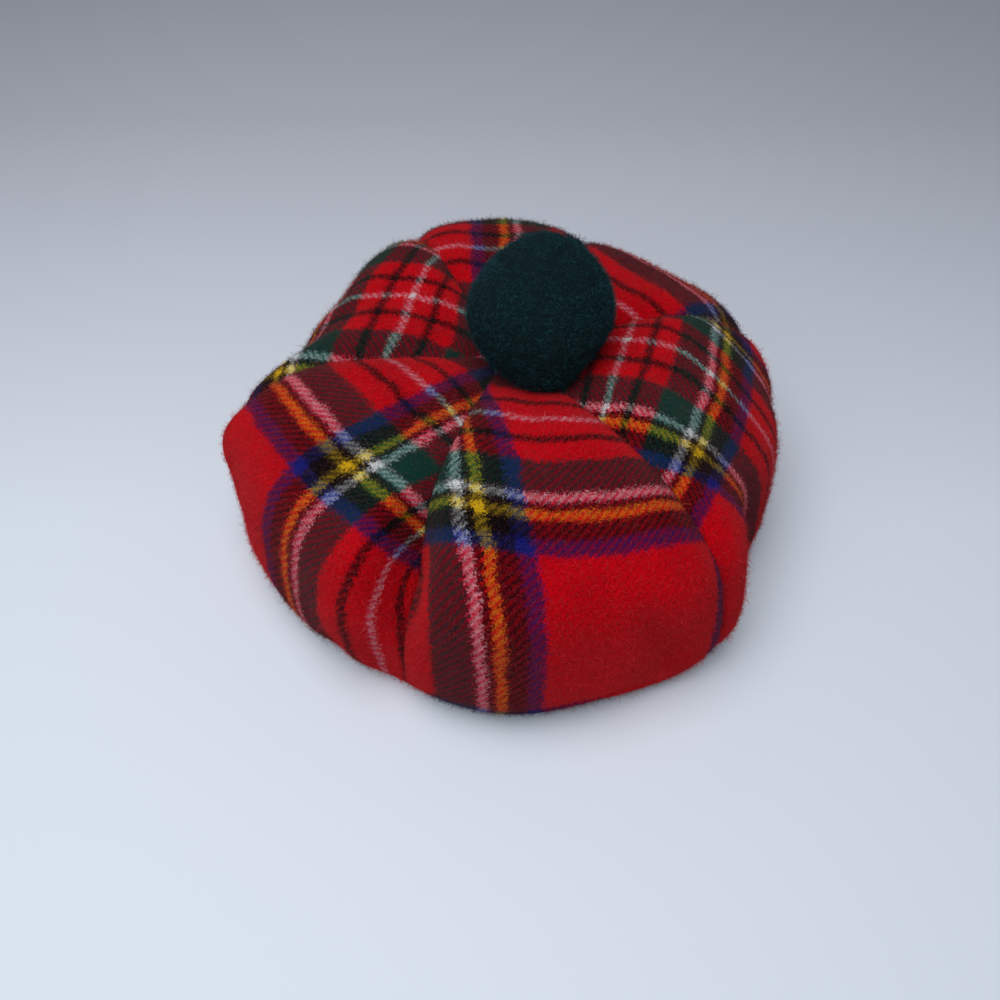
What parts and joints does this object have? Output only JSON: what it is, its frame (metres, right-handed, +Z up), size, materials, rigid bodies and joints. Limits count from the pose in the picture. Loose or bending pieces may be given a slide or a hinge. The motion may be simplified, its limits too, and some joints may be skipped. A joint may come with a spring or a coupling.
{
  "type": "tam o shanter",
  "caption": "Soft round tam o shanter of brushed red tartan wool gores on a plain head band, with a felted pompom on the crown.",
  "frame": {"origin": "the middle of the head opening on the surface that the hat rests on, under the middle of its box", "axes": "+Z up out of the crown, -Y towards the front gore, +X towards the right of a viewer at the front"},
  "size_m": [0.256, 0.2682, 0.1399],
  "materials": {
    "tartan": "brushed wool twill",
    "band_cloth": "plain wool",
    "green_felt": "felted wool"
  },
  "bodies": {
    "root": {"panel_front": "tartan", "panel_right": "tartan", "panel_back_right": "tartan", "panel_back": "tartan", "panel_back_left": "tartan", "panel_left": "tartan", "head_band": "band_cloth", "toorie": "green_felt"}
  },
  "joints": []
}
